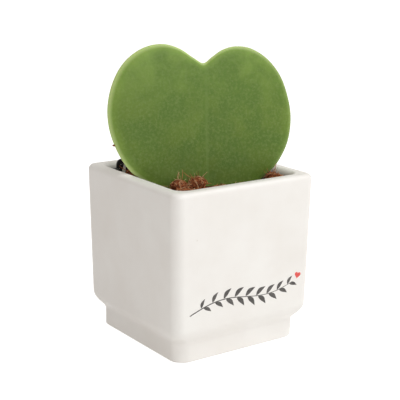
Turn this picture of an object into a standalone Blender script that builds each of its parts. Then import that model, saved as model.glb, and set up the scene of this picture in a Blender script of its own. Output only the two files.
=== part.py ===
"""Potted hoya: a heart-shaped leaf rooted in coir, in a plastic grow pot inside a square ceramic pot.

The frame stands on the underside of the ceramic pot, on the pot's vertical centre line, with +Z up.
The pot's front face looks along -Y. Lengths are in metres. Each named object is one physical piece.
"""
import math

import bmesh
import bpy
from mathutils import Matrix, Vector, noise

MM = 0.001
GAP = 0.3 * MM               # air kept between pieces that touch on the real object

# Ceramic pot, half-widths measured square to a face
POT_HEIGHT = 81.6 * MM
POT_RIM_HALF = 40.0 * MM
POT_BODY_HALF = 38.9 * MM
POT_FOOT_HALF = 35.0 * MM
POT_CORNER = 5.3 * MM
POT_FOOT_CORNER = 7.3 * MM
POT_FOOT_TOP = 8.2 * MM      # where the foot's upright side ends
POT_HOLLOW_RADIUS = 4.5 * MM
POT_SHOULDER_RADIUS = 8.4 * MM
POT_SHOULDER_SLOPE = 39.0    # degrees from upright, where hollow and shoulder meet
POT_LIP_OUTER = 2.6 * MM
POT_LIP_INNER = 2.5 * MM
POT_BASE_EDGE = 1.0 * MM
POT_MOUTH_HALF = 33.0 * MM
POT_MOUTH_CORNER = 4.0 * MM
POT_FLOOR_HALF = 30.2 * MM
POT_FLOOR = 9.0 * MM
POT_FLOOR_RADIUS = 3.0 * MM

# Plastic grow pot, standing on the ceramic pot's floor
GROW_RIM_TOP = 78.8 * MM
GROW_LIP_HEIGHT = 2.0 * MM
GROW_LIP_HALF = POT_MOUTH_HALF - 0.4 * MM
GROW_LIP_CORNER = POT_MOUTH_CORNER - 0.4 * MM
GROW_TOP_HALF = 31.9 * MM
GROW_BASE_HALF = 27.4 * MM
GROW_WALL = 0.9 * MM
GROW_CORNER = 3.6 * MM
GROW_BASE = 1.4 * MM
DRAIN_RADIUS = 3.0 * MM
DRAIN_SPREAD = 14.0 * MM
GROW_BASE_EDGE = 0.6 * MM    # chamfer round the underside

# Coir potting mix
MIX_TOP = 74.6 * MM
MIX_EDGE_DROP = 1.0 * MM     # height and width of the sloping edge round its top
MIX_EDGE_INSET = 0.8 * MM
STEM_HOLE_RADIUS = 7.5 * MM
STEM_HOLE_BOTTOM = 30.0 * MM
STEM_HOLE_ABOVE_STALK = 4.0 * MM
STEM_HOLE_FORWARD = 1.0 * MM

# Leaf blade: p = LEAF_FOOT + s * across + t * up the blade + h * out of its front face
LEAF_FOOT = Vector((0.7, -6.9, 79.0)) * MM
LEAF_TURN = math.radians(-18.3)
LEAF_LEAN = math.radians(5.0)
LEAF_CENTRE = Vector((-1.5, 24.0)) * MM
LEAF_THICKNESS = 3.8 * MM
LEAF_RECURVE = 1.5 * MM      # how far the side margins bend back
LEAF_HALF_WIDTH = 45.0 * MM
LEAF_MARGIN = 0.16           # share of the way to the centre that the rounded margin takes
LEAF_OUTLINE = [             # mm across and up the blade, from the notch round the left lobe
    (-1.4, 53.5), (-6.2, 56.1), (-13.5, 60.8), (-21.8, 62.8), (-31.0, 60.8), (-39.2, 54.8),
    (-44.6, 46.0), (-47.4, 35.0), (-46.9, 24.0), (-43.2, 13.0), (-37.6, 4.2), (-31.0, -0.9),
    (-18.0, -10.5), (-1.0, -17.0), (16.5, -11.0), (29.2, -1.4), (35.6, 4.2), (41.0, 13.8),
    (42.9, 24.5), (41.8, 34.5), (37.8, 45.8), (31.0, 54.4), (22.5, 59.7), (14.5, 60.9),
    (8.0, 59.4), (2.8, 56.2)]
STALK_TOP = -18.0 * MM       # along the blade's up direction
STALK_LENGTH = 13.0 * MM
STALK_RADIUS = 2.3 * MM
STALK_OFFSET = -1.0 * MM     # across the blade, where the stalk meets it
ROOT_COUNT = 5
ROOT_RADIUS = 0.65 * MM
ROOT_TIP_RADIUS = 0.25 * MM
ROOT_DROP = 12.0 * MM        # how far the shortest root goes down
ROOT_START_REACH = 1.5 * MM
ROOT_SPREAD = 3.6 * MM
ROOT_CLEARANCE = 0.8 * MM    # kept between the stalk's cut end and the roots

# Plant label
LABEL_TOP = Vector((-26.2, 28.2, 84.2)) * MM
LABEL_HALF_WIDTH = 2.5 * MM
LABEL_LENGTH = 32.0 * MM
LABEL_THICKNESS = 0.7 * MM
LABEL_LEAN = math.radians(2.5)
LABEL_TAPER = 0.55           # share of the length that narrows to the point
LABEL_TIP_HALF = 0.8 * MM

# Coir clumps lying on the mix: centre x, y, then half-sizes along x, y and up (mm)
CLUMPS = {
    "coir_clump_front_left": (-20.6, -14.2, 3.9, 4.0, 5.7),
    "coir_clump_front_middle": (-11.9, -16.2, 4.0, 4.0, 6.5),
    "coir_clump_front_corner": (-24.6, -25.0, 5.0, 4.6, 4.6),
    "coir_clump_front": (-5.0, -26.0, 6.6, 3.8, 3.9),
    "coir_clump_front_right": (11.0, -24.0, 7.8, 4.4, 2.6),
    "coir_clump_right": (27.2, -24.4, 3.4, 5.4, 5.6),
    "coir_clump_left": (-27.0, 13.6, 3.2, 7.0, 6.6),
    "coir_clump_rear_left": (-13.5, 15.0, 7.6, 7.4, 4.2),
    "coir_clump_rear": (4.5, 13.5, 8.2, 8.0, 5.0),
    "coir_clump_rear_right": (22.0, 10.0, 7.4, 9.0, 4.0),
}


def clear_scene():
    for obj in list(bpy.data.objects):
        bpy.data.objects.remove(obj, do_unlink=True)


def material(name, colour, roughness, subsurface=0.0):
    mat = bpy.data.materials.new(name)
    mat.use_nodes = True
    shader = mat.node_tree.nodes["Principled BSDF"]
    shader.inputs["Base Color"].default_value = (*colour, 1.0)
    shader.inputs["Roughness"].default_value = roughness
    shader.inputs["Metallic"].default_value = 0.0
    shader.inputs["Subsurface Weight"].default_value = subsurface
    mat.diffuse_color = (*colour, 1.0)
    return mat


def finish(bm, name, mat=None, smooth=True):
    """Turn a bmesh into a named object with outward faces and, on round pieces, smooth shading."""
    bmesh.ops.remove_doubles(bm, verts=bm.verts, dist=1e-7)
    bmesh.ops.recalc_face_normals(bm, faces=bm.faces)
    mesh = bpy.data.meshes.new(name)
    bm.to_mesh(mesh)
    bm.free()
    obj = bpy.data.objects.new(name, mesh)
    bpy.context.scene.collection.objects.link(obj)
    if smooth:
        mesh.shade_smooth()
        mesh.set_sharp_from_angle(angle=math.radians(40))
    if mat:
        mesh.materials.append(mat)
    return obj


def cut(obj, cutter):
    """Subtract one mesh from another; the cutter stays in the file, hidden from renders."""
    cutter.hide_render = True
    cutter.display_type = 'WIRE'
    mod = obj.modifiers.new("cut_" + cutter.name, 'BOOLEAN')
    mod.operation = 'DIFFERENCE'
    mod.solver = 'EXACT'
    mod.object = cutter


def arc(centre_half, centre_z, radius, start, end, steps):
    """Points (half-width, height) on a circular arc, angles in degrees from straight outwards."""
    points = []
    for i in range(steps + 1):
        angle = math.radians(start + (end - start) * i / steps)
        points.append((centre_half + radius * math.cos(angle), centre_z + radius * math.sin(angle)))
    return points


def square_ring(bm, half, z, corner, steps=6):
    """One ring of vertices round a square with rounded corners."""
    ring = []
    for quarter in range(4):
        sign_x = 1 if quarter in (0, 3) else -1
        sign_y = 1 if quarter in (0, 1) else -1
        for i in range(steps + 1):
            angle = math.pi / 2 * (quarter + i / steps)
            x = sign_x * (half - corner) + corner * math.cos(angle)
            y = sign_y * (half - corner) + corner * math.sin(angle)
            ring.append(bm.verts.new((x, y, z)))
    return ring


def loft(bm, rings, caps=True):
    for lower, upper in zip(rings, rings[1:]):
        count = len(lower)
        for i in range(count):
            j = (i + 1) % count
            bm.faces.new((lower[i], lower[j], upper[j], upper[i]))
    if caps:
        bm.faces.new(rings[0])
        bm.faces.new(rings[-1])


def pot_outside():
    """The ceramic pot's outer profile, from the base edge up to the crown of the rim."""
    slope = math.radians(POT_SHOULDER_SLOPE)
    both = POT_HOLLOW_RADIUS + POT_SHOULDER_RADIUS
    inset = POT_BODY_HALF - POT_FOOT_HALF
    straight = (inset - both * (1 - math.cos(slope))) / math.sin(slope)
    shoulder_top = POT_FOOT_TOP + both * math.sin(slope) + straight * math.cos(slope)
    points = arc(POT_FOOT_HALF - POT_BASE_EDGE, POT_BASE_EDGE, POT_BASE_EDGE, -90, 0, 3)
    points += arc(POT_FOOT_HALF + POT_HOLLOW_RADIUS, POT_FOOT_TOP, POT_HOLLOW_RADIUS,
                  180, 180 - POT_SHOULDER_SLOPE, 4)
    points += arc(POT_BODY_HALF - POT_SHOULDER_RADIUS, shoulder_top, POT_SHOULDER_RADIUS,
                  -POT_SHOULDER_SLOPE, 0, 6)
    points += arc(POT_RIM_HALF - POT_LIP_OUTER, POT_HEIGHT - POT_LIP_OUTER, POT_LIP_OUTER, 0, 90, 5)
    return points


def pot_inside():
    """The ceramic pot's inner profile, from the crown of the rim down to the floor."""
    points = arc(POT_MOUTH_HALF + POT_LIP_INNER, POT_HEIGHT - POT_LIP_INNER, POT_LIP_INNER, 90, 180, 5)
    points += arc(POT_FLOOR_HALF - POT_FLOOR_RADIUS, POT_FLOOR + POT_FLOOR_RADIUS, POT_FLOOR_RADIUS,
                  0, -90, 4)
    return points


def outside_corner(half, z):
    """Plan radius of the pot's corners, which are rounder on the foot than on the body."""
    if z > POT_HEIGHT / 2:
        return POT_CORNER - (POT_RIM_HALF - half) * (z > POT_HEIGHT - POT_LIP_OUTER)
    share = min(max((half - POT_FOOT_HALF) / (POT_BODY_HALF - POT_FOOT_HALF), 0.0), 1.0)
    corner = POT_FOOT_CORNER + (POT_CORNER - POT_FOOT_CORNER) * share
    return corner - max(POT_FOOT_HALF - half, 0.0)


def inside_corner(half, z):
    if z > POT_HEIGHT - POT_LIP_INNER:
        return POT_MOUTH_CORNER + half - POT_MOUTH_HALF
    return max(POT_MOUTH_CORNER - (POT_FLOOR_HALF - half) * (z < POT_FLOOR + POT_FLOOR_RADIUS), 0.9 * MM)


def make_ceramic_pot(mat):
    bm = bmesh.new()
    rings = [square_ring(bm, half, z, outside_corner(half, z)) for half, z in pot_outside()]
    rings += [square_ring(bm, half, z, inside_corner(half, z)) for half, z in pot_inside()]
    loft(bm, rings)
    return finish(bm, "ceramic_pot", mat)


def grow_half(z):
    """Outer half-width of the grow pot's tapered wall at a height."""
    foot = POT_FLOOR + GAP
    share = (z - foot) / (GROW_RIM_TOP - GROW_LIP_HEIGHT - foot)
    return GROW_BASE_HALF + (GROW_TOP_HALF - GROW_BASE_HALF) * share


def make_grow_pot(mat):
    """Tapered square pot with an out-turned lip, and five round drain holes in its base."""
    foot = POT_FLOOR + GAP
    lip_under = GROW_RIM_TOP - GROW_LIP_HEIGHT
    inner_top = GROW_TOP_HALF - GROW_WALL
    floor = foot + GROW_BASE
    bm = bmesh.new()
    rings = [
        square_ring(bm, GROW_BASE_HALF - GROW_BASE_EDGE, foot, GROW_CORNER - GROW_BASE_EDGE),
        square_ring(bm, GROW_BASE_HALF, foot + GROW_BASE_EDGE, GROW_CORNER),
        square_ring(bm, GROW_TOP_HALF, lip_under, GROW_CORNER),
        square_ring(bm, GROW_LIP_HALF, lip_under, GROW_LIP_CORNER),
        square_ring(bm, GROW_LIP_HALF, GROW_RIM_TOP, GROW_LIP_CORNER),
        square_ring(bm, inner_top, GROW_RIM_TOP, GROW_CORNER - GROW_WALL),
        square_ring(bm, inner_top, lip_under, GROW_CORNER - GROW_WALL),
        square_ring(bm, grow_half(floor) - GROW_WALL, floor, GROW_CORNER - GROW_WALL),
    ]
    loft(bm, rings)
    pot = finish(bm, "grow_pot", mat)
    for i, (x, y) in enumerate([(0, 0), (1, 1), (-1, 1), (-1, -1), (1, -1)]):
        bm = bmesh.new()
        spot = Matrix.Translation((x * DRAIN_SPREAD, y * DRAIN_SPREAD, foot + GROW_BASE / 2))
        bmesh.ops.create_cone(bm, cap_ends=True, segments=16, radius1=DRAIN_RADIUS,
                              radius2=DRAIN_RADIUS, depth=3 * GROW_BASE, matrix=spot)
        cut(pot, finish(bm, f"drain_cutter_{i + 1}"))
    return pot


def leaf_axes():
    """Unit vectors across the blade, up the blade and out of its front face."""
    c, s = math.cos(LEAF_TURN), math.sin(LEAF_TURN)
    across = Vector((c, s, 0.0))
    front = Vector((s * math.cos(LEAF_LEAN), -c * math.cos(LEAF_LEAN), math.sin(LEAF_LEAN)))
    return across, front.cross(across), front


def leaf_point(s, t, h):
    across, up, front = leaf_axes()
    return LEAF_FOOT + across * s + up * t + front * h


def smooth_outline(points, steps):
    """A closed Catmull-Rom curve through the outline's points."""
    curve = []
    count = len(points)
    for i in range(count):
        a, b, c, d = (Vector(points[(i + k) % count]) for k in (-1, 0, 1, 2))
        for step in range(steps):
            u = step / steps
            curve.append(0.5 * (2 * b + (c - a) * u + (2 * a - 5 * b + 4 * c - d) * u * u
                                + (3 * b - a - 3 * c + d) * u ** 3))
    return curve


def make_blade(name, mat=None, grow=0.0, steps=3):
    """A thick blade with rounded margins; grow makes it larger all round, for cutting its own slot."""
    outline = [p * MM for p in smooth_outline(LEAF_OUTLINE, steps)]
    outline = [p + (p - LEAF_CENTRE).normalized() * grow for p in outline]
    shares = [0.0, 0.02, 0.06, 0.11, LEAF_MARGIN, 0.4, 0.7]
    bm = bmesh.new()

    def vertex(point, share, side):
        rise = math.sqrt(1 - (1 - min(share / LEAF_MARGIN, 1.0)) ** 2)
        bend = -LEAF_RECURVE * (point.x / LEAF_HALF_WIDTH) ** 2
        return bm.verts.new(leaf_point(point.x, point.y, bend + side * rise * (LEAF_THICKNESS / 2 + grow)))

    def ring(share, side):
        return [vertex(LEAF_CENTRE + (p - LEAF_CENTRE) * (1 - share), share, side) for p in outline]

    rings = [ring(share, -1) for share in reversed(shares[1:])] + [ring(share, 1) for share in shares]
    loft(bm, rings, caps=False)
    for end, side in ((rings[0], -1), (rings[-1], 1)):
        middle = vertex(LEAF_CENTRE, 1.0, side)
        for i in range(len(end)):
            bm.faces.new((end[i], end[(i + 1) % len(end)], middle))
    return finish(bm, name, mat)


def tube(bm, path, radii, segments=8):
    """A closed tube along a path, with a radius at each point."""
    rings = []
    for i, (point, radius) in enumerate(zip(path, radii)):
        ahead = path[min(i + 1, len(path) - 1)] - path[max(i - 1, 0)]
        turn = ahead.to_track_quat('Z', 'Y')
        ring = []
        for k in range(segments):
            angle = 2 * math.pi * k / segments
            offset = turn @ Vector((math.cos(angle), math.sin(angle), 0.0)) * radius
            ring.append(bm.verts.new(point + offset))
        rings.append(ring)
    loft(bm, rings)


def make_stalk(mat):
    bm = bmesh.new()
    steps = 6
    path = [leaf_point(STALK_OFFSET, STALK_TOP - STALK_LENGTH * i / steps, 0.0) for i in range(steps + 1)]
    radii = [STALK_RADIUS * (0.86 + 0.14 * math.cos(2 * math.pi * i / steps)) for i in range(steps + 1)]
    tube(bm, path, radii, 12)
    return finish(bm, "leaf_stalk", mat)


def make_root(index, mat):
    """One of the roots that spread down from just under the stalk's cut end."""
    start = leaf_point(STALK_OFFSET, STALK_TOP - STALK_LENGTH, 0.0)
    heading = 2 * math.pi * index / ROOT_COUNT + 0.4
    drop = ROOT_DROP + 2.0 * MM * (index % 3)
    steps = 6
    path, radii = [], []
    for i in range(steps + 1):
        u = i / steps
        reach = ROOT_START_REACH + ROOT_SPREAD * u ** 0.7
        sway = heading + 0.5 * math.sin(2.2 * u + index)
        path.append(start + Vector((reach * math.cos(sway), reach * math.sin(sway),
                                    -ROOT_CLEARANCE - drop * u)))
        radii.append(ROOT_RADIUS + (ROOT_TIP_RADIUS - ROOT_RADIUS) * u)
    bm = bmesh.new()
    tube(bm, path, radii, 6)
    return finish(bm, f"root_{index + 1}", mat)


def label_outline(grow):
    """Label shape in its own plane: rounded top, straight sides, long point; (across, down)."""
    half = LABEL_HALF_WIDTH + grow
    points = [(half * math.cos(math.radians(a)), half - half * math.sin(math.radians(a)) - grow)
              for a in range(0, 181, 20)]
    straight = LABEL_LENGTH * (1 - LABEL_TAPER)
    tip = LABEL_TIP_HALF + grow
    points += [(-half, straight), (-tip, LABEL_LENGTH + grow), (tip, LABEL_LENGTH + grow), (half, straight)]
    return points


def make_label(name, mat=None, grow=0.0):
    bm = bmesh.new()
    front = -LABEL_THICKNESS / 2 - grow
    verts = [bm.verts.new((x, front, -down)) for x, down in label_outline(grow)]
    face = bm.faces.new(verts)
    out = bmesh.ops.extrude_face_region(bm, geom=[face])
    moved = [v for v in out["geom"] if isinstance(v, bmesh.types.BMVert)]
    bmesh.ops.translate(bm, verts=moved, vec=(0, LABEL_THICKNESS + 2 * grow, 0))
    place = Matrix.Translation(LABEL_TOP) @ Matrix.Rotation(LABEL_LEAN, 4, 'Y')
    bmesh.ops.transform(bm, verts=bm.verts, matrix=place)
    return finish(bm, name, mat, smooth=False)


def make_potting_mix(mat):
    """The block of coir that fills the grow pot, slotted for the leaf, its roots and the label."""
    bottom = POT_FLOOR + GAP + GROW_BASE + GAP
    shoulder = MIX_TOP - MIX_EDGE_DROP
    corner = GROW_CORNER - GROW_WALL - GAP
    bm = bmesh.new()
    rings = [
        square_ring(bm, grow_half(bottom) - GROW_WALL - GAP, bottom, corner),
        square_ring(bm, grow_half(shoulder) - GROW_WALL - GAP, shoulder, corner),
        square_ring(bm, grow_half(MIX_TOP) - GROW_WALL - GAP - MIX_EDGE_INSET, MIX_TOP,
                    corner - MIX_EDGE_INSET),
    ]
    loft(bm, rings)
    mix = finish(bm, "potting_mix", mat)
    cut(mix, make_blade("blade_cutter", grow=GAP, steps=2))
    top = leaf_point(STALK_OFFSET, STALK_TOP + STEM_HOLE_ABOVE_STALK, 0.0)
    bm = bmesh.new()
    depth = top.z - STEM_HOLE_BOTTOM
    spot = Matrix.Translation((top.x, top.y - STEM_HOLE_FORWARD, (top.z + STEM_HOLE_BOTTOM) / 2))
    bmesh.ops.create_cone(bm, cap_ends=True, segments=20, radius1=STEM_HOLE_RADIUS,
                          radius2=STEM_HOLE_RADIUS, depth=depth, matrix=spot)
    cut(mix, finish(bm, "stem_hole_cutter"))
    cut(mix, make_label("label_cutter", grow=GAP))
    return mix


def make_clump(name, size, mat):
    """A ragged lump of coir with a flat underside, resting on the mix."""
    x, y, half_x, half_y, height = (value * MM for value in size)
    seat = MIX_TOP + GAP
    bm = bmesh.new()
    bmesh.ops.create_icosphere(bm, subdivisions=2, radius=1.0)
    for vert in bm.verts:
        swell = 1.0 + 0.10 * noise.noise(vert.co * 2.3 + Vector((x, y, 0)) / MM)
        lift = max(vert.co.z, -0.25) * 0.8 + 0.2
        vert.co = Vector((x + vert.co.x * half_x * swell, y + vert.co.y * half_y * swell,
                          seat + lift * height * (swell if lift > 0 else 1.0)))
    return finish(bm, name, mat)


def build():
    clear_scene()
    glaze = material("white_satin_glaze", (0.87, 0.85, 0.82), 0.45)
    plastic = material("black_polypropylene", (0.012, 0.012, 0.013), 0.5)
    coir = material("coir", (0.30, 0.11, 0.045), 0.95)
    coir_light = material("coir_fibre", (0.40, 0.16, 0.07), 0.95)
    leaf = material("leaf_flesh", (0.13, 0.24, 0.045), 0.45, 0.1)
    stalk = material("stalk_skin", (0.25, 0.33, 0.10), 0.5)
    root = material("root_skin", (0.62, 0.52, 0.36), 0.8)
    card = material("label_plastic", (0.03, 0.03, 0.035), 0.4)
    make_ceramic_pot(glaze)
    make_grow_pot(plastic)
    make_potting_mix(coir)
    make_blade("leaf_blade", leaf)
    make_stalk(stalk)
    for index in range(ROOT_COUNT):
        make_root(index, root)
    make_label("plant_label", card)
    for name, size in CLUMPS.items():
        make_clump(name, size, coir_light)


build()
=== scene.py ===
# %% [markdown]
# # Potted hoya heart leaf
# One thick, heart-shaped hoya leaf stands in coir, inside a black grow pot, inside a square white
# glazed pot. This notebook loads the measured frame first, then gives every visible piece its shape
# and finish. Lengths are in metres, and a piece's place is kept in its mesh.

# %% Load the frame
import math
import random

import bmesh
import bpy
from mathutils import Matrix, Vector, noise


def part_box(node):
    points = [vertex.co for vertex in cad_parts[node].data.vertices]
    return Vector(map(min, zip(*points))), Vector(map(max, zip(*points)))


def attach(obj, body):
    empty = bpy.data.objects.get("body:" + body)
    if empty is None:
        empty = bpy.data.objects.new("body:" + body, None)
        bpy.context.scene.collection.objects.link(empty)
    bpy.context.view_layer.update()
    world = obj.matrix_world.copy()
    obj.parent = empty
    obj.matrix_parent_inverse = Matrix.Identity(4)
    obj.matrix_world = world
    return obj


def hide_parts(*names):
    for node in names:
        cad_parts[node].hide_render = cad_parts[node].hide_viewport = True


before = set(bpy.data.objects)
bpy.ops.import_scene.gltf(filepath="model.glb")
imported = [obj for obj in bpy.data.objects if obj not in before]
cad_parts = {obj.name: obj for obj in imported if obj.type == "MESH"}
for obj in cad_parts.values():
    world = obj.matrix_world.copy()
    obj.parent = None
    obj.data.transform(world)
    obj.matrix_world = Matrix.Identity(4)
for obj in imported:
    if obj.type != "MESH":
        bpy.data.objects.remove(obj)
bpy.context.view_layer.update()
MM = 0.001
print("frame nodes:", sorted(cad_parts))

# %% [markdown]
# ## Colours and nodes
# Screen colours are written as hex, as a painter would pick them. Shaders work in linear light, so one
# function turns them over. One more function adds a shader node with its settings and its links, which
# keeps every material below readable.

# %% Colour and node helpers
def linear(code, alpha=1.0):
    channels = [int(code[i:i + 2], 16) / 255 for i in (1, 3, 5)]
    return tuple(c / 12.92 if c <= 0.04045 else ((c + 0.055) / 1.055) ** 2.4 for c in channels) + (alpha,)


def add(mat, kind, settings=None, **links):
    """Add a node. settings are its own properties, links its inputs: a socket, or a plain value."""
    node = mat.node_tree.nodes.new("ShaderNode" + kind)
    for key, value in (settings or {}).items():
        setattr(node, key, value)
    for key, value in links.items():
        name = key.replace("_", " ")
        socket = node.inputs[int(name[1:])] if name[0] == "i" and name[1:].isdigit() else node.inputs[name]
        if isinstance(value, bpy.types.NodeSocket):
            mat.node_tree.links.new(value, socket)
        else:
            socket.default_value = value
    return node


def ramp(mat, factor, stops):
    """A colour ramp through (place, hex) stops."""
    node = add(mat, "ValToRGB", Fac=factor)
    while len(node.color_ramp.elements) < len(stops):
        node.color_ramp.elements.new(0.5)
    for element, (place, code) in zip(node.color_ramp.elements, stops):
        element.position = place
        element.color = linear(code)
    return node.outputs["Color"]


def blend_colour(mat, factor, first, second):
    """Mix two colours; each of the three values is a socket or a plain value."""
    node = add(mat, "Mix", {"data_type": 'RGBA'})
    for index, value in ((0, factor), (6, first), (7, second)):
        if isinstance(value, bpy.types.NodeSocket):
            mat.node_tree.links.new(value, node.inputs[index])
        else:
            node.inputs[index].default_value = value
    return node.outputs[2]


def new_material(name):
    """A new material and its Principled shader."""
    mat = bpy.data.materials.new(name)
    mat.use_nodes = True
    return mat, mat.node_tree.nodes["Principled BSDF"]


def wire(mat, source, shader, socket):
    """Link a socket to one of a shader's inputs."""
    mat.node_tree.links.new(source, shader.inputs[socket])


# %% [markdown]
# ## Satin white glaze
# The pot is slip-cast stoneware under an opaque satin white glaze. Such a glaze is never one flat white:
# it is a touch warmer where it pools, has tiny pinholes and iron specks, and its skin has a very shallow
# orange peel. Object coordinates in metres times 1000 give patterns in millimetres.

# %% Glaze material
def glaze_material():
    mat, shader = new_material("satin_white_glaze")
    place = add(mat, "TexCoord").outputs["Object"]
    pooled = add(mat, "TexNoise", Vector=place, Scale=38.0, Detail=3.0, Roughness=0.55).outputs["Fac"]
    base = ramp(mat, pooled, [(0.30, "#F1EDE8"), (0.55, "#F5F2EE"), (0.75, "#F8F6F2")])
    specks = add(mat, "TexVoronoi", Vector=place, Scale=160.0, Randomness=1.0).outputs["Distance"]
    speck_mask = add(mat, "MapRange", Value=specks, From_Min=0.035, From_Max=0.06, To_Min=1.0, To_Max=0.0)
    keep = add(mat, "TexNoise", Vector=place, Scale=55.0, Detail=1.0).outputs["Fac"]
    few = add(mat, "MapRange", Value=keep, From_Min=0.60, From_Max=0.66, To_Min=0.0, To_Max=0.35)
    both = add(mat, "Math", {"operation": 'MULTIPLY'}, i0=speck_mask.outputs[0], i1=few.outputs[0])
    colour = blend_colour(mat, both.outputs[0], base, linear("#B8AA9A"))
    wire(mat, colour, shader, "Base Color")
    peel = add(mat, "TexNoise", Vector=place, Scale=420.0, Detail=2.0).outputs["Fac"]
    waves = add(mat, "TexNoise", Vector=place, Scale=70.0, Detail=2.0).outputs["Fac"]
    rough = add(mat, "MapRange", Value=waves, To_Min=0.40, To_Max=0.52)
    wire(mat, rough.outputs[0], shader, "Roughness")
    height = add(mat, "Math", {"operation": 'MULTIPLY_ADD'}, i0=waves, i1=4.0, i2=peel)
    bump = add(mat, "Bump", Strength=0.10, Distance=0.0003, Height=height.outputs[0])
    wire(mat, bump.outputs[0], shader, "Normal")
    shader.inputs["IOR"].default_value = 1.5
    shader.inputs["Coat Weight"].default_value = 0.08
    shader.inputs["Coat Roughness"].default_value = 0.3
    return mat


GLAZE = glaze_material()

# %% [markdown]
# ## The ceramic pot
# The pot is a square with rounded corners at every height: a foot, a hollow and shoulder in one soft S,
# a slightly flared body, and a thick rolled rim. The foot's corners are rounder than the body's, and a
# scaled extrusion can't give that, so the wall is lofted: one ring of points for each step of the profile.
# Arcs give the rounded stretches, so the silhouette is smooth at any distance.

# %% Pot sizes and profile
low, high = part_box("ceramic_pot")
RIM_HALF = high[0]
HEIGHT = high[2]
BODY_INSET, FOOT_INSET = 1.1 * MM, 5.0 * MM
BODY_HALF, FOOT_HALF = RIM_HALF - BODY_INSET, RIM_HALF - FOOT_INSET
FOOT_TOP, HOLLOW, SHOULDER, SLOPE = 8.2 * MM, 4.5 * MM, 8.4 * MM, 39.0
LIP_OUT, LIP_IN, MOUTH_HALF, MOUTH_CORNER = 2.6 * MM, 2.5 * MM, 33.0 * MM, 4.0 * MM
FLOOR, FLOOR_HALF, FLOOR_RADIUS, FLOOR_LEAST_CORNER = 9.0 * MM, 30.2 * MM, 3.0 * MM, 0.9 * MM
BASE_EDGE = 1.0 * MM
BODY_CORNER, FOOT_CORNER = 5.3 * MM, 7.3 * MM


def arc(half, z, radius, start, end, steps):
    """Points (half-width, height) on a circular arc; angles in degrees from straight outwards."""
    angles = [math.radians(start + (end - start) * i / steps) for i in range(steps + 1)]
    return [(half + radius * math.cos(a), z + radius * math.sin(a)) for a in angles]


def shoulder_top():
    """The height where the shoulder turns into the body's straight side."""
    slope = math.radians(SLOPE)
    both = HOLLOW + SHOULDER
    straight = (BODY_HALF - FOOT_HALF - both * (1 - math.cos(slope))) / math.sin(slope)
    return FOOT_TOP + both * math.sin(slope) + straight * math.cos(slope)


def wall_profile():
    """(half-width, height, corner radius) from the base, up the outside, and down to the inner floor."""
    top = shoulder_top()
    outer = arc(FOOT_HALF - BASE_EDGE, BASE_EDGE, BASE_EDGE, -90, 0, 6)
    outer += arc(FOOT_HALF + HOLLOW, FOOT_TOP, HOLLOW, 180, 180 - SLOPE, 10)
    outer += arc(BODY_HALF - SHOULDER, top, SHOULDER, -SLOPE, 0, 16)
    rim_start = HEIGHT - LIP_OUT
    wall_steps = 12
    outer += [(BODY_HALF + BODY_INSET * i / wall_steps, top + (rim_start - top) * i / wall_steps)
              for i in range(1, wall_steps)]
    rings = []
    for half, z in outer:
        share = min(max((half - FOOT_HALF) / (BODY_HALF - FOOT_HALF), 0.0), 1.0)
        corner = FOOT_CORNER + (BODY_CORNER - FOOT_CORNER) * share - max(FOOT_HALF - half, 0.0)
        rings.append((half, z, corner))
    for half, z in arc(RIM_HALF - LIP_OUT, rim_start, LIP_OUT, 0, 90, 12):
        rings.append((half, z, BODY_CORNER - (RIM_HALF - half)))
    for half, z in arc(MOUTH_HALF + LIP_IN, HEIGHT - LIP_IN, LIP_IN, 90, 180, 12):
        rings.append((half, z, MOUTH_CORNER + half - MOUTH_HALF))
    rings.append((FLOOR_HALF, FLOOR + FLOOR_RADIUS, MOUTH_CORNER))
    for half, z in arc(FLOOR_HALF - FLOOR_RADIUS, FLOOR + FLOOR_RADIUS, FLOOR_RADIUS, 0, -90, 6)[1:]:
        rings.append((half, z, max(MOUTH_CORNER - (FLOOR_HALF - half), FLOOR_LEAST_CORNER)))
    return rings


def square_ring(bm, half, z, corner, steps=12, sides=6):
    """Rounded square: each quarter is a corner arc, then points along the straight side."""
    ring = []
    for quarter in range(4):
        turn = Matrix.Rotation(math.pi / 2 * quarter, 3, 'Z')
        for i in range(steps + 1):
            a = math.pi / 2 * i / steps
            ring.append(turn @ Vector((half - corner + corner * math.cos(a),
                                       half - corner + corner * math.sin(a), z)))
        for i in range(1, sides):
            across = (half - corner) * (1 - 2 * i / sides)
            ring.append(turn @ Vector((across, half, z)))
    return [bm.verts.new(p) for p in ring]


def loft(bm, rings, caps=True):
    """Join rings of equally many vertices, and close both ends where caps is set."""
    for lower, upper in zip(rings, rings[1:]):
        for i in range(len(lower)):
            j = (i + 1) % len(lower)
            bm.faces.new((lower[i], lower[j], upper[j], upper[i]))
    if caps:
        bm.faces.new(rings[0])
        bm.faces.new(rings[-1])


def to_object(bm, name, material, sharp=None):
    """Finish a bmesh as a smooth-shaded object at the origin, with its faces pointing out."""
    bmesh.ops.remove_doubles(bm, verts=bm.verts, dist=1e-7)
    bmesh.ops.recalc_face_normals(bm, faces=bm.faces)
    mesh = bpy.data.meshes.new(name)
    bm.to_mesh(mesh)
    bm.free()
    piece = bpy.data.objects.new(name, mesh)
    bpy.context.scene.collection.objects.link(piece)
    mesh.shade_smooth()
    if sharp:
        mesh.set_sharp_from_angle(angle=math.radians(sharp))
    mesh.materials.append(material)
    return piece


# %% Loft the pot
def make_pot():
    bm = bmesh.new()
    loft(bm, [square_ring(bm, half, z, corner) for half, z, corner in wall_profile()])
    pot = to_object(bm, "glazed_pot", GLAZE, sharp=60)
    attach(pot, "root")
    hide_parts("ceramic_pot")
    return pot


pot = make_pot()
print("pot triangles:", sum(len(p.vertices) - 2 for p in pot.data.polygons))

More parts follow.
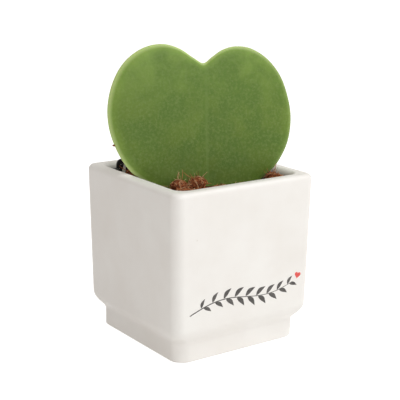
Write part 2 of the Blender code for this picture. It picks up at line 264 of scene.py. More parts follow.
# %% [markdown]
# ## Hoya leaf skin
# A hoya heart is a succulent leaf: a waxy, faintly mottled skin over thick wet flesh. The middle is a
# deep olive green. The colour gets lighter towards the top as painted light coming through the lobes near
# the notch, and the rounded margin gets a painted pale green glow, most on the left. The blade carries
# two values at every point, stored in a UV map: u runs across it and v runs up it, in units of 100 mm, and
# an attribute says how close the margin is.

# %% Leaf material
def leaf_material():
    mat, shader = new_material("hoya_leaf_skin")
    flat = add(mat, "UVMap", {"uv_map": "blade"}).outputs["UV"]
    axes = add(mat, "SeparateXYZ", Vector=flat)
    margin = add(mat, "Attribute", {"attribute_name": "margin"}).outputs["Fac"]
    height = add(mat, "MapRange", Value=axes.outputs["Y"], From_Min=-0.05, From_Max=0.62)
    place = add(mat, "TexCoord").outputs["Object"]
    # painted light: the body colour gets lighter towards the top, standing in for light through the upper
    # lobes
    body = ramp(mat, height.outputs[0], [(0.0, "#5A7124"), (0.30, "#617A2B"), (0.55, "#667F31"),
                                         (0.78, "#718C3C"), (1.0, "#7F9C49")])
    cloud = add(mat, "TexNoise", Vector=place, Scale=75.0, Detail=4.0, Roughness=0.6).outputs["Fac"]
    darker = blend_colour(mat, add(mat, "MapRange", Value=cloud, From_Min=0.42, From_Max=0.62,
                                   To_Min=0.62, To_Max=0.0).outputs[0], body, linear("#4F6E26"))
    mottle = add(mat, "TexNoise", Vector=place, Scale=760.0, Detail=3.0, Roughness=0.7).outputs["Fac"]
    fine = add(mat, "MapRange", Value=mottle, From_Min=0.45, From_Max=0.72, To_Min=0.0, To_Max=0.42)
    mottled = blend_colour(mat, fine.outputs[0], darker, linear("#869A55"))
    # the midrib is a slightly paler line, fading out below the notch
    off_rib = add(mat, "Math", {"operation": 'ABSOLUTE'},
                  i0=add(mat, "Math", {"operation": 'ADD'}, i0=axes.outputs["X"], i1=0.006).outputs[0])
    rib = add(mat, "MapRange", {"interpolation_type": 'SMOOTHSTEP'}, Value=off_rib.outputs[0],
              From_Min=0.001, From_Max=0.013, To_Min=0.42, To_Max=0.0)
    ribbed = blend_colour(mat, rib.outputs[0], mottled, linear("#708A42"))
    # the margin: a broad soft painted glow, then a narrow painted rim light, both standing in for light
    # through the flesh the painted light comes through from the left and above, so the right margin glows
    # least
    lit_side = add(mat, "MapRange", {"interpolation_type": 'SMOOTHSTEP'},
                   Value=add(mat, "Math", {"operation": 'MULTIPLY_ADD'}, i0=axes.outputs["Y"], i1=0.35,
                             i2=add(mat, "Math", {"operation": 'MULTIPLY'}, i0=axes.outputs["X"],
                                    i1=-1.0).outputs[0]).outputs[0],
                   From_Min=-0.28, From_Max=0.25, To_Min=0.30, To_Max=1.0)
    painted_glow_mask = add(mat, "MapRange", {"interpolation_type": 'SMOOTHSTEP'}, Value=margin,
               From_Min=0.0, From_Max=0.15, To_Min=0.55, To_Max=0.0)
    painted_side_glow = add(mat, "Math", {"operation": 'MULTIPLY'}, i0=painted_glow_mask.outputs[0], i1=lit_side.outputs[0])
    # pale green #8FAC4C: painted glow along the margin
    with_painted_glow = blend_colour(mat, painted_side_glow.outputs[0], ribbed, linear("#8FAC4C"))
    rim = add(mat, "MapRange", {"interpolation_type": 'SMOOTHSTEP'}, Value=margin,
              From_Min=0.0, From_Max=0.055, To_Min=0.95, To_Max=0.0)
    painted_rim_light = add(mat, "Math", {"operation": 'MULTIPLY'}, i0=rim.outputs[0], i1=lit_side.outputs[0])
    # pale #C2D58C: painted rim light along the margin's edge
    with_painted_rim_light = blend_colour(mat, painted_rim_light.outputs[0], with_painted_glow, linear("#C2D58C"))
    dots = add(mat, "TexVoronoi", Vector=place, Scale=210.0).outputs["Distance"]
    speck = add(mat, "MapRange", Value=dots, From_Min=0.05, From_Max=0.09, To_Min=0.18, To_Max=0.0)
    colour = blend_colour(mat, speck.outputs[0], with_painted_rim_light, linear("#93A862"))
    wire(mat, colour, shader, "Base Color")
    rough = add(mat, "MapRange", Value=cloud, To_Min=0.42, To_Max=0.58)
    wire(mat, rough.outputs[0], shader, "Roughness")
    grain = add(mat, "Math", {"operation": 'MULTIPLY_ADD'}, i0=cloud, i1=3.0, i2=mottle)
    bump = add(mat, "Bump", Strength=0.22, Distance=0.0004, Height=grain.outputs[0])
    wire(mat, bump.outputs[0], shader, "Normal")
    shader.inputs["IOR"].default_value = 1.42
    shader.inputs["Specular IOR Level"].default_value = 0.35
    shader.inputs["Subsurface Weight"].default_value = 0.22
    shader.inputs["Subsurface Radius"].default_value = (0.5, 1.0, 0.2)
    shader.inputs["Subsurface Scale"].default_value = 0.0020
    return mat


LEAF = leaf_material()

# %% [markdown]
# ## The leaf blade
# The outline is a heart with a deep soft notch and a slightly larger left lobe, drawn as one smooth curve
# through a few points. The blade is built from rings that step in from the outline, on both faces, so its
# margin is truly round and the blade is nearly 4 mm thick. A shallow groove runs down the front along the
# midrib, with a low ridge on the back, and slow waves keep the big faces from looking machined.

# %% Leaf frame and outline
LEAF_FOOT = Vector((0.7, -6.9, 79.0)) * MM
LEAF_TURN, LEAF_LEAN = math.radians(-18.3), math.radians(5.0)
LEAF_CENTRE = Vector((-1.5, 24.0)) * MM
LEAF_THICKNESS, LEAF_RECURVE, LEAF_HALF_WIDTH, LEAF_MARGIN = 3.8 * MM, 1.5 * MM, 45.0 * MM, 0.16
SKIN_INSET = 0.97            # the skin's thickness as a share of the solid blade's
OUTLINE_INSET = 0.9993       # keeps this finer outline inside the frame's coarser one
RIB_OFFSET, RIB_WIDTH, RIB_DEPTH = -0.6 * MM, 3.2 * MM, 0.38 * MM
RIB_TOP, RIB_FADE, RIB_BACK_SHARE = 52.0 * MM, 30.0 * MM, 1.17
WAVE_HEIGHT, WAVE_SIZE = 0.30 * MM, 17 * MM
LEAF_OUTLINE = [
    (-1.4, 53.5), (-6.2, 56.1), (-13.5, 60.8), (-21.8, 62.8), (-31.0, 60.8), (-39.2, 54.8),
    (-44.6, 46.0), (-47.4, 35.0), (-46.9, 24.0), (-43.2, 13.0), (-37.6, 4.2), (-31.0, -0.9),
    (-18.0, -10.5), (-1.0, -17.0), (16.5, -11.0), (29.2, -1.4), (35.6, 4.2), (41.0, 13.8),
    (42.9, 24.5), (41.8, 34.5), (37.8, 45.8), (31.0, 54.4), (22.5, 59.7), (14.5, 60.9),
    (8.0, 59.4), (2.8, 56.2)]


def leaf_axes():
    c, s = math.cos(LEAF_TURN), math.sin(LEAF_TURN)
    across = Vector((c, s, 0.0))
    front = Vector((s * math.cos(LEAF_LEAN), -c * math.cos(LEAF_LEAN), math.sin(LEAF_LEAN)))
    return across, front.cross(across), front


ACROSS, UP, FRONT = leaf_axes()


def leaf_point(s, t, h):
    return LEAF_FOOT + ACROSS * s + UP * t + FRONT * h


def smooth_outline(points, steps):
    """A closed Catmull-Rom curve through the points."""
    curve = []
    count = len(points)
    for i in range(count):
        a, b, c, d = (Vector(points[(i + k) % count]) for k in (-1, 0, 1, 2))
        for step in range(steps):
            u = step / steps
            curve.append(0.5 * (2 * b + (c - a) * u + (2 * a - 5 * b + 4 * c - d) * u * u
                                + (3 * b - a - 3 * c + d) * u ** 3))
    return curve


# %% Blade surface
UV_UNIT = 0.1


def blade_height(point, share, side):
    """Height out of the blade's plane for one point of a face."""
    rise = math.sqrt(1 - (1 - min(share / LEAF_MARGIN, 1.0)) ** 2)
    bend = -LEAF_RECURVE * (point.x / LEAF_HALF_WIDTH) ** 2
    inside = min(share / 0.2, 1.0)
    off_rib = (point.x - RIB_OFFSET) / RIB_WIDTH
    reach = min(max((RIB_TOP - point.y) / RIB_FADE, 0.0), 1.0) * inside
    groove = -RIB_DEPTH * math.exp(-off_rib ** 2) * reach * (1.0 if side > 0 else RIB_BACK_SHARE)
    spot = Vector((point.x, point.y, side * 0.02)) / WAVE_SIZE
    waves = WAVE_HEIGHT * noise.noise(spot) * inside
    return bend + side * (rise * LEAF_THICKNESS / 2 * SKIN_INSET) + groove + waves * side


def make_leaf():
    outline = [LEAF_CENTRE + (p * MM - LEAF_CENTRE) * OUTLINE_INSET
               for p in smooth_outline(LEAF_OUTLINE, 8)]
    margin_rings, face_rings = 8, 26
    steps_in = [LEAF_MARGIN * (1 - math.cos(math.pi / 2 * i / margin_rings))
                for i in range(1, margin_rings + 1)]
    steps_in += [LEAF_MARGIN + (1 - LEAF_MARGIN) * i / face_rings for i in range(1, face_rings)]
    bm = bmesh.new()
    uv = bm.loops.layers.uv.new("blade")
    margin = bm.verts.layers.float.new("margin")
    flat = {}

    def vertex(p, share, side):
        vert = bm.verts.new(leaf_point(p.x, p.y, blade_height(p, share, side)))
        vert[margin] = share
        flat[vert] = (p.x / UV_UNIT, p.y / UV_UNIT)
        return vert

    def ring(share, side):
        return [vertex(LEAF_CENTRE + (p - LEAF_CENTRE) * (1 - share), share, side) for p in outline]

    rings = [ring(share, -1) for share in reversed(steps_in)] + [ring(0.0, 1)]
    rings += [ring(share, 1) for share in steps_in]
    loft(bm, rings, caps=False)
    for end, side in ((rings[0], -1), (rings[-1], 1)):
        middle = vertex(LEAF_CENTRE, 1.0, side)
        for i in range(len(end)):
            bm.faces.new((end[i], end[(i + 1) % len(end)], middle))
    for face in bm.faces:
        for loop in face.loops:
            loop[uv].uv = flat[loop.vert]
    leaf = to_object(bm, "heart_leaf", LEAF)
    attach(leaf, "root")
    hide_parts("leaf_blade")
    return leaf


leaf = make_leaf()
print("leaf triangles:", sum(len(p.vertices) - 2 for p in leaf.data.polygons))

# %% [markdown]
# ## Coir
# Coir is coconut husk: short red-brown fibres with pith dust between them. Close up it is a tangle of dark
# and tan fibres. The solid lumps get a rough dark-to-rust material whose colour follows the height of its
# bump: partly the coir's own tone, and darker in the low gaps as painted shade. Real fibres are laid over
# them as thin tubes, because a tangle can't be painted on.

# %% Coir materials
def coir_material(name, stops, scale):
    mat, shader = new_material(name)
    place = add(mat, "TexCoord").outputs["Object"]
    warp = add(mat, "TexNoise", Vector=place, Scale=scale * 0.5, Detail=2.0).outputs["Color"]
    mixed = add(mat, "VectorMath", {"operation": 'MULTIPLY_ADD'},
                i0=warp, i1=(0.004, 0.004, 0.004), i2=place)
    tangle = add(mat, "TexNoise", {"noise_type": 'RIDGED_MULTIFRACTAL'}, Vector=mixed.outputs[0],
                 Scale=scale, Detail=5.0, Roughness=0.6).outputs["Fac"]
    crumbs = add(mat, "TexVoronoi", Vector=mixed.outputs[0], Scale=scale * 1.6).outputs["Distance"]
    both = add(mat, "Math", {"operation": 'MULTIPLY_ADD'}, i0=crumbs, i1=0.45,
               i2=add(mat, "MapRange", Value=tangle, From_Max=1.6, To_Max=0.6).outputs[0])
    # the ramp follows the bump height, so the low gaps take the dark stops: painted shade over the coir's own
    # tone
    wire(mat, ramp(mat, both.outputs[0], stops), shader, "Base Color")
    bump = add(mat, "Bump", Strength=0.9, Distance=0.0008, Height=both.outputs[0])
    wire(mat, bump.outputs[0], shader, "Normal")
    shader.inputs["Roughness"].default_value = 0.92
    shader.inputs["Specular IOR Level"].default_value = 0.2
    return mat


# each ramp's darkest stop is painted shade in the low gaps; the rest is the coir's red-brown to tan tone
COIR_MIX = coir_material("coir_dark", [(0.15, "#3A1D10"), (0.45, "#74402A"), (0.75, "#A2643F")], 620.0)
COIR_CLUMP = coir_material("coir_rust", [(0.12, "#4E2613"), (0.38, "#96532F"), (0.60, "#BD7A52"),
                                         (0.85, "#DBA47A")], 700.0)


def fibre_material(name, dark, light):
    """Dry coir fibre: a matt plant fibre whose tone drifts along its length."""
    mat, shader = new_material(name)
    place = add(mat, "TexCoord").outputs["Object"]
    drift = add(mat, "TexNoise", Vector=place, Scale=900.0, Detail=2.0).outputs["Fac"]
    wire(mat, ramp(mat, drift, [(0.35, dark), (0.65, light)]), shader, "Base Color")
    shader.inputs["Roughness"].default_value = 0.7
    shader.inputs["Specular IOR Level"].default_value = 0.3
    return mat


FIBRES = [fibre_material("coir_fibre_dark", "#5E2E18", "#8A4E2C"),
          fibre_material("coir_fibre_rust", "#A9623B", "#CB8557"),
          fibre_material("coir_fibre_tan", "#C99468", "#E6C69C")]

# %% [markdown]
# ## The potting mix
# The top of the mix is an uneven crust of coir, about 4 mm below the grow pot's lip. It is a grid whose
# points are pulled into the pot's rounded square, raised and sunk by three sizes of noise, and then given
# sides.

# %% Mix surface
mix_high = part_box("potting_mix")[1]
MIX_TOP = mix_high[2]
MIX_HALF = mix_high[0]
MIX_INSET, MIX_CORNER, MIX_SIDE = 0.1 * MM, 2.6 * MM, 6 * MM
CRUST_HEIGHT = 0.62


def crust(x, y):
    """Height of the crust over the middle of the pot, flattening out at its edge."""
    spot = Vector((x, y, 0.0)) / MM
    rough = 0.75 * noise.noise(spot / 6.0) + 0.45 * noise.noise(spot / 2.2) + 0.22 * noise.noise(spot / 0.9)
    edge = max(abs(x), abs(y)) / MIX_HALF
    return MIX_TOP - MIX_INSET + rough * MM * CRUST_HEIGHT * min((1.0 - edge) * 12 + 0.3, 1.0)


def make_mix():
    bpy.ops.object.select_all(action='DESELECT')
    bpy.ops.mesh.primitive_grid_add(x_subdivisions=110, y_subdivisions=110, size=2.0)
    mix = bpy.context.object
    mix.name = "coir_mix"
    half, corner = MIX_HALF - MIX_INSET, MIX_CORNER
    for vert in mix.data.vertices:
        x, y = vert.co.x * half, vert.co.y * half
        past = Vector((max(abs(x) - (half - corner), 0.0), max(abs(y) - (half - corner), 0.0)))
        if past.x > 0 and past.y > 0:
            pull = max(past.x, past.y) / past.length
            x = math.copysign(half - corner + past.x * pull, x)
            y = math.copysign(half - corner + past.y * pull, y)
        vert.co = (x, y, crust(x, y))
    bpy.ops.object.mode_set(mode='EDIT')
    bpy.ops.mesh.select_mode(type='EDGE')
    bpy.ops.mesh.select_all(action='DESELECT')
    bpy.ops.mesh.select_non_manifold()
    bpy.ops.mesh.extrude_region_move(TRANSFORM_OT_translate={"value": (0, 0, -MIX_SIDE)})
    bpy.ops.mesh.edge_face_add()
    bpy.ops.mesh.select_all(action='SELECT')
    bpy.ops.mesh.normals_make_consistent(inside=False)
    bpy.ops.object.mode_set(mode='OBJECT')
    mix.data.shade_smooth()
    mix.data.materials.append(COIR_MIX)
    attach(mix, "root")
    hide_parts("potting_mix")
    return mix


mix = make_mix()

# %% [markdown]
# ## Clumps and fibres
# Each loose clump starts as an icosphere in the place and size of its solid in the frame. Noise breaks its
# skin into crumbs. Short fibres are then strewn over it, most lying close to the surface and a few standing
# up. A fibre is a four-sided tube with a gentle bend, which is enough at this size.

# %% Clump and fibre makers
def fibre(bm, start, heading, length, radius, curl, rng):
    """One bent four-sided tube that follows heading and curls towards a random side."""
    side = heading.orthogonal().normalized()
    side.rotate(Matrix.Rotation(rng.uniform(0, 2 * math.pi), 3, heading))
    points = []
    last = 5
    for i in range(last + 1):
        u = i / last
        points.append(start + heading * length * u + side * curl * math.sin(math.pi * u * 0.9))
    rings = []
    for i, point in enumerate(points):
        along = (points[min(i + 1, last)] - points[max(i - 1, 0)]).normalized()
        turn = along.to_track_quat('Z', 'Y')
        size = radius * (1.0 - 0.55 * abs(2 * i / last - 1) ** 3)
        rings.append([bm.verts.new(point + turn @ Vector((size * math.cos(a), size * math.sin(a), 0)))
                      for a in (0, math.pi / 2, math.pi, 1.5 * math.pi)])
    loft(bm, rings)


def clump_skin(name, low, high, rng):
    """The crumbly lump itself; returns the piece and points on its upper skin."""
    centre, half = (low + high) / 2, (high - low) / 2
    bm = bmesh.new()
    bmesh.ops.create_icosphere(bm, subdivisions=5, radius=1.0)
    seed = Vector((rng.uniform(0, 50), rng.uniform(0, 50), rng.uniform(0, 50)))
    skin = []
    for vert in bm.verts:
        spot = vert.co.copy()
        lumps = 0.34 * noise.noise(spot * 2.3 + seed) + 0.20 * noise.noise(spot * 6.0 + seed)
        crumbs = 0.10 * noise.noise(spot * 14.0 + seed)
        grow = 0.92 + lumps + crumbs
        vert.co = Vector((centre.x + spot.x * half.x * grow, centre.y + spot.y * half.y * grow,
                          max(centre.z + spot.z * half.z * grow, low.z - 0.5 * MM)))
        if spot.z > 0.0:
            normal = Vector((spot.x / half.x, spot.y / half.y, spot.z / half.z)).normalized()
            skin.append((vert.co.copy(), normal))
    piece = to_object(bm, name, COIR_CLUMP)
    return piece, skin


def strew(name, skin, count, rng, tone, length, stand=0.12):
    """Strew fibres of one tone over a skin, as one piece."""
    bm = bmesh.new()
    for _ in range(count):
        point, normal = rng.choice(skin)
        turn = Matrix.Rotation(rng.uniform(0, 2 * math.pi), 3, normal)
        along = turn @ normal.orthogonal().normalized()
        up = rng.random() < stand
        heading = (along + normal * (rng.uniform(0.9, 2.4) if up else rng.uniform(-0.25, 0.22))).normalized()
        size = length * rng.uniform(0.5, 1.25) * (1.3 if up else 1.0)
        start = point - heading * size * (0.1 if up else 0.5)
        radius, curl = rng.uniform(0.07, 0.15) * MM, rng.uniform(0.2, 0.9) * MM
        fibre(bm, start, heading, size, radius, curl, rng)
    piece = to_object(bm, name, FIBRES[tone])
    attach(piece, "root")
    return piece


# %% Clumps
CLUMP_FIBRE, CRUST_FIBRE = 4.4 * MM, 4.2 * MM
clump_nodes = sorted(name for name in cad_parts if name.startswith("coir_clump"))
for index, node in enumerate(clump_nodes):
    rng = random.Random(100 + index)
    low, high = (Vector(corner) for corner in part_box(node))
    piece, skin = clump_skin(node.replace("coir_clump", "clump"), low, high, rng)
    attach(piece, "root")
    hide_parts(node)
    # the two lumps behind the front rim lie flat, so nothing stands up in front of the leaf there
    stand = 0.0 if node in ("coir_clump_front", "coir_clump_front_right") else 0.12
    for tone, count in ((0, 26), (1, 64), (2, 26)):
        strew(f"{piece.name}_fibres_{tone + 1}", skin, count, rng, tone, CLUMP_FIBRE, stand)
print("clumps:", len(clump_nodes))

# %% Fibres lying on the open crust
BLADE_CLEARANCE = 4.5 * MM
EDGE_CLEARANCE = 2.5 * MM
crust_rng = random.Random(7)
crust_skin = []
for _ in range(1800):
    x, y = (crust_rng.uniform(-1, 1) * (MIX_HALF - EDGE_CLEARANCE) for _ in range(2))
    to_blade = (Vector((x, y, MIX_TOP)) - LEAF_FOOT).dot(FRONT)
    if abs(to_blade) > BLADE_CLEARANCE:
        crust_skin.append((Vector((x, y, crust(x, y))), Vector((0.0, 0.0, 1.0))))
for tone, count in ((0, 260), (1, 400), (2, 110)):
    strew(f"crust_fibres_{tone + 1}", crust_skin, count, crust_rng, tone, CRUST_FIBRE, stand=0.015)

# %% A dry flake caught on the leaf's left margin
FLAKE_PLACE = Vector((-44.6, 16.6, -1.5)) * MM    # across, up and out of the blade
FLAKE_HALF = Vector((0.9, 0.5, 0.6)) * MM


def make_flake():
    bpy.ops.object.select_all(action='DESELECT')
    bpy.ops.mesh.primitive_ico_sphere_add(subdivisions=3, radius=1.0)
    flake = bpy.context.object
    flake.name = "dry_flake"
    for vert in flake.data.vertices:
        spot = vert.co * (1.0 + 0.5 * noise.noise(vert.co * 2.4))
        vert.co = leaf_point(FLAKE_PLACE.x + spot.x * FLAKE_HALF.x, FLAKE_PLACE.y + spot.y * FLAKE_HALF.y,
                             FLAKE_PLACE.z + spot.z * FLAKE_HALF.z)
    flake.data.shade_smooth()
    flake.data.materials.append(FIBRES[0])
    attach(flake, "root")


make_flake()

# %% [markdown]
# ## Grow pot, label, stalk and roots
# These pieces already have their true shape in the frame, so they only need a finish. The grow pot is
# injection-moulded polypropylene with carbon black: matt, with a faint moulding texture. The label is a
# black printed strip with a bare white margin and a few small pale ticks, which say nothing. The stalk and
# the roots are buried, and get plain plant skins.

# %% Finishes for the frame's own pieces
def moulded_plastic(name, colour, rough):
    mat, shader = new_material(name)
    place = add(mat, "TexCoord").outputs["Object"]
    grain = add(mat, "TexNoise", Vector=place, Scale=900.0, Detail=2.0).outputs["Fac"]
    wire(mat, ramp(mat, grain, [(0.3, colour), (0.8, "#2B2B2C")]), shader, "Base Color")
    wire(mat, add(mat, "Bump", Strength=0.15, Distance=0.0002, Height=grain).outputs[0], shader, "Normal")
    shader.inputs["Roughness"].default_value = rough
    return mat


def label_material(high):
    """Black print on white plastic: a white strip down the right side and pale ticks in two rows."""
    mat, shader = new_material("label_printed_strip")
    place = add(mat, "TexCoord").outputs["Object"]
    axes = add(mat, "SeparateXYZ", Vector=place)
    # a slanted line through x and z together marks off the strip
    slope = 0.32
    slant = add(mat, "Math", {"operation": 'MULTIPLY_ADD'},
                i0=axes.outputs["Z"], i1=-slope, i2=axes.outputs["X"])
    edge = high.x - slope * high.z - 0.2 * MM
    strip = add(mat, "Math", {"operation": 'GREATER_THAN'}, i0=slant.outputs[0], i1=edge)
    waves = add(mat, "TexWave", {"wave_type": 'BANDS', "bands_direction": 'Z'},
                Vector=place, Scale=160.0, Distortion=3.0)
    bits = add(mat, "TexVoronoi", Vector=place, Scale=1500.0)
    rows = add(mat, "Math", {"operation": 'GREATER_THAN'}, i0=waves.outputs["Fac"], i1=0.72)
    dots = add(mat, "Math", {"operation": 'LESS_THAN'}, i0=bits.outputs["Distance"], i1=0.32)
    tick = add(mat, "Math", {"operation": 'MULTIPLY'}, i0=rows.outputs[0], i1=dots.outputs[0])
    panel = blend_colour(mat, tick.outputs[0], linear("#26262B"), linear("#C9C9CE"))
    wire(mat, blend_colour(mat, strip.outputs[0], panel, linear("#EFEDEA")), shader, "Base Color")
    shader.inputs["Roughness"].default_value = 0.38
    return mat


def plant_skin(name, dark, light, scale, rough):
    mat, shader = new_material(name)
    place = add(mat, "TexCoord").outputs["Object"]
    cloud = add(mat, "TexNoise", Vector=place, Scale=scale, Detail=3.0).outputs["Fac"]
    wire(mat, ramp(mat, cloud, [(0.35, dark), (0.65, light)]), shader, "Base Color")
    wire(mat, add(mat, "Bump", Strength=0.2, Distance=0.0003, Height=cloud).outputs[0], shader, "Normal")
    shader.inputs["Roughness"].default_value = rough
    return mat


def refinish(node, material):
    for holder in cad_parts[node].material_slots:
        holder.material = material


refinish("grow_pot", moulded_plastic("black_polypropylene", "#141415", 0.5))
refinish("plant_label", label_material(Vector(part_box("plant_label")[1])))
refinish("leaf_stalk", plant_skin("stalk_skin", "#5B6B32", "#8A9A55", 400.0, 0.5))
root_skin = plant_skin("root_skin", "#B9A47A", "#E0D2B0", 800.0, 0.8)
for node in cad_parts:
    if node.startswith("root_"):
        refinish(node, root_skin)

# %% [markdown]
# ## The ornament on the front face
# A small ornament runs up across the lower front face: a dark grey sprig, painted with a soft brush,
# that ends in a tiny red heart. A fired decal has almost no thickness, so each mark is a slip of ink that
# stands 0.05 mm proud. The sprig's stem is a thin ribbon along a gentle curve. Its leaves follow in pairs,
# each drawn by the same formula, larger in the middle and smaller at both ends.

# %% Ink finishes
def ink(name, colour, second):
    mat, shader = new_material(name)
    place = add(mat, "TexCoord").outputs["Object"]
    worn = add(mat, "TexNoise", Vector=place, Scale=700.0, Detail=3.0).outputs["Fac"]
    wire(mat, ramp(mat, worn, [(0.40, colour), (0.72, second)]), shader, "Base Color")
    shader.inputs["Roughness"].default_value = 0.45
    return mat


GREY_INK = ink("decal_grey_ink", "#3F3C3A", "#5E5A57")
RED_INK = ink("decal_red_ink", "#E04A45", "#EC6A62")
INK_LIFT = 0.05 * MM


def face_y(z):
    """Where the front face stands at a height; it flares out a little towards the rim."""
    share = (z - shoulder_top()) / (HEIGHT - LIP_OUT - shoulder_top())
    return -(BODY_HALF + (RIM_HALF - BODY_HALF) * share)


def ink_strip(name, left, right, material):
    """An inked strip on the front face between two edges of (x, z) points, with a little thickness."""
    bm = bmesh.new()
    rings = []
    for (x1, z1), (x2, z2) in zip(left, right):
        rings.append([bm.verts.new((x, face_y(z) + lift, z)) for x, z, lift in
                      ((x1, z1, -INK_LIFT), (x2, z2, -INK_LIFT), (x2, z2, INK_LIFT), (x1, z1, INK_LIFT))])
    loft(bm, rings)
    piece = to_object(bm, name, material, sharp=30)
    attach(piece, "root")
    return piece


# %% Sprig
SPRIG_START = (-31.5 * MM, 24.5 * MM)
SPRIG_END = (28.0 * MM, 31.0 * MM)
SPRIG_SWAY = 2.6 * MM
SPRIG_LEAF_LENGTH, SPRIG_LEAF_WIDTH = 6.4 * MM, 2.3 * MM


def stem_point(u):
    """A point along the stem, u from 0 at the cut end to 1 at the tip."""
    x = SPRIG_START[0] + (SPRIG_END[0] - SPRIG_START[0]) * u
    z = SPRIG_START[1] + (SPRIG_END[1] - SPRIG_START[1]) * u
    return Vector((x, z + SPRIG_SWAY * math.sin(2 * math.pi * u * 0.95)))


def stem_heading(u):
    return (stem_point(u + 0.01) - stem_point(u - 0.01)).normalized()


def leaf_mark(base, heading, length, width):
    """Two edges of one brushed leaf: pointed at both ends, fullest near its middle, and curved."""
    side = Vector((-heading.y, heading.x))
    edges = ([], [])
    steps = 12
    for i in range(steps + 1):
        u = i / steps
        half = width / 2 * (0.04 + 0.96 * math.sin(math.pi * u ** 0.8) ** 1.1 if 0 < u < 1 else 0.04)
        middle = base + heading * length * u + side * 0.10 * length * math.sin(math.pi * u)
        edges[0].append(tuple(middle + side * half))
        edges[1].append(tuple(middle - side * half))
    return edges


def make_sprig():
    left, right = [], []
    steps = 48
    for i in range(steps + 1):
        u = i / steps
        side = Vector((-stem_heading(u).y, stem_heading(u).x))
        half = (0.26 - 0.14 * u) * MM
        left.append(tuple(stem_point(u) + side * half))
        right.append(tuple(stem_point(u) - side * half))
    ink_strip("sprig_stem", left, right, GREY_INK)
    pairs = 9
    for k in range(pairs):
        u = 0.10 + 0.84 * k / (pairs - 1)
        size = 0.60 + 0.40 * math.sin(math.pi * (k + 1) / (pairs + 1))
        for sign, word in ((1, "upper"), (-1, "lower")):
            heading = stem_heading(u).copy()
            heading.rotate(Matrix.Rotation(sign * math.radians(46 - 1.5 * k), 2))
            base = stem_point(u + (0.022 if sign < 0 else 0.0)) + heading * 0.5 * MM
            left, right = leaf_mark(base, heading, SPRIG_LEAF_LENGTH * size, SPRIG_LEAF_WIDTH * size)
            ink_strip(f"sprig_leaf_{word}_{k + 1}", left, right, GREY_INK)


make_sprig()

# %% Heart
def make_heart(x, z, size, tilt):
    """A small plain heart: front and back outlines, each closed with a fan of faces, and a thin edge."""
    bm = bmesh.new()
    middle = Vector((x, z))
    outline = []
    steps = 48
    for i in range(steps):
        a = 2 * math.pi * i / steps
        spot = Vector((16 * math.sin(a) ** 3,
                       13 * math.cos(a) - 5 * math.cos(2 * a) - 2 * math.cos(3 * a) - math.cos(4 * a)))
        spot.rotate(Matrix.Rotation(tilt, 2))
        outline.append(middle + spot * size / 32)
    rings = []
    for lift in (-INK_LIFT, INK_LIFT):
        rings.append([bm.verts.new((p.x, face_y(p.y) + lift, p.y)) for p in outline])
        centre = bm.verts.new((x, face_y(z) + lift, z))
        for i in range(steps):
            bm.faces.new((rings[-1][i], rings[-1][(i + 1) % steps], centre))
    loft(bm, rings, caps=False)
    heart = to_object(bm, "decal_heart", RED_INK, sharp=30)
    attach(heart, "root")


make_heart(31.0 * MM, 32.9 * MM, 3.6 * MM, math.radians(-14))

# %% [markdown]
# ## Stage, light and camera
# The pot stands on a white sweep in soft daylight. The key light stands in front, a little to the left, and
# a second light high on the front right. The front face is bright and the left face falls into a warm grey
# shade. The camera is a long lens from the front left, a little above the rim.

# %% Stage
def seen_directly(owner):
    """1 for rays from the camera or off a glossy surface, and 0 for the others."""
    rays = add(owner, "LightPath")
    return add(owner, "Math", {"operation": 'MAXIMUM'}, i0=rays.outputs["Is Camera Ray"],
               i1=rays.outputs["Is Glossy Ray"]).outputs[0]


def stage_material():
    """White paper for the eye, with the pot's soft shadow kept."""
    mat, shader = new_material("white_paper_sweep")
    shader.inputs["Base Color"].default_value = linear("#F4F3F2")
    shader.inputs["Roughness"].default_value = 0.9
    shader.inputs["Specular IOR Level"].default_value = 0.0
    strength = add(mat, "Math", {"operation": 'MULTIPLY'}, i0=seen_directly(mat), i1=0.75)
    shader.inputs["Emission Color"].default_value = (1.0, 1.0, 1.0, 1.0)
    wire(mat, strength.outputs[0], shader, "Emission Strength")
    return mat


bpy.ops.object.select_all(action='DESELECT')
bpy.ops.mesh.primitive_plane_add(size=8.0, location=(0, 0, 0))
floor = bpy.context.object
floor.name = "floor"
floor.data.materials.append(stage_material())

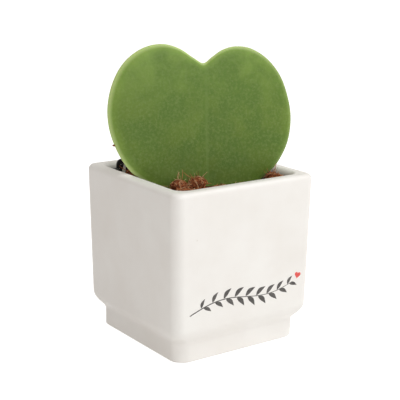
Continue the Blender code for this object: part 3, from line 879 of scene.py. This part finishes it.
# %% World
world = bpy.data.worlds.new("studio")
bpy.context.scene.world = world
world.use_nodes = True
AMBIENT = 0.47
background = world.node_tree.nodes["Background"]
level = add(world, "MapRange", Value=seen_directly(world), To_Min=AMBIENT, To_Max=1.0)
wire(world, level.outputs[0], background, "Strength")
background.inputs["Color"].default_value = (1.0, 0.955, 0.91, 1.0)

# %% Lights
def area_light(name, place, aim, size, power, colour=(1.0, 1.0, 1.0)):
    data = bpy.data.lights.new(name, 'AREA')
    data.shape = 'DISK'
    data.size = size
    data.energy = power
    data.color = colour
    lamp = bpy.data.objects.new(name, data)
    lamp.location = place
    lamp.rotation_euler = (Vector(aim) - Vector(place)).to_track_quat('-Z', 'Y').to_euler()
    bpy.context.scene.collection.objects.link(lamp)
    return lamp


area_light("key", (-0.20, -0.95, 0.50), (0, 0, 0.07), 0.42, 2.6, (0.95, 0.985, 1.0))
area_light("top", (0.42, -0.42, 0.85), (0, 0, 0.08), 0.45, 3.6, (0.97, 0.99, 1.0))

# %% Camera
CAMERA_TURN, CAMERA_RISE, CAMERA_ROLL = math.radians(-35.291), math.radians(14.174), math.radians(0.542)
CAMERA_LENS, CAMERA_DISTANCE, CAMERA_AIM_HEIGHT, CAMERA_AIM_RIGHT = 96.68, 520.18 * MM, 65.82 * MM, 0.906 * MM
back = Vector((math.sin(CAMERA_TURN) * math.cos(CAMERA_RISE),
               -math.cos(CAMERA_TURN) * math.cos(CAMERA_RISE), math.sin(CAMERA_RISE)))
right = Vector((math.cos(CAMERA_TURN), math.sin(CAMERA_TURN), 0.0))
up = back.cross(right)
camera_data = bpy.data.cameras.new("camera")
camera_data.sensor_width = 36.0
camera_data.lens = CAMERA_LENS
camera = bpy.data.objects.new("camera", camera_data)
bpy.context.scene.collection.objects.link(camera)
turned_right = right * math.cos(CAMERA_ROLL) + up * math.sin(CAMERA_ROLL)
turned_up = up * math.cos(CAMERA_ROLL) - right * math.sin(CAMERA_ROLL)
pose = Matrix((turned_right, turned_up, back)).transposed().to_4x4()
aim = Vector((0.0, 0.0, CAMERA_AIM_HEIGHT)) + right * CAMERA_AIM_RIGHT
pose.translation = aim + back * CAMERA_DISTANCE
camera.matrix_world = pose
bpy.context.scene.camera = camera
bpy.context.scene.view_settings.view_transform = 'Standard'
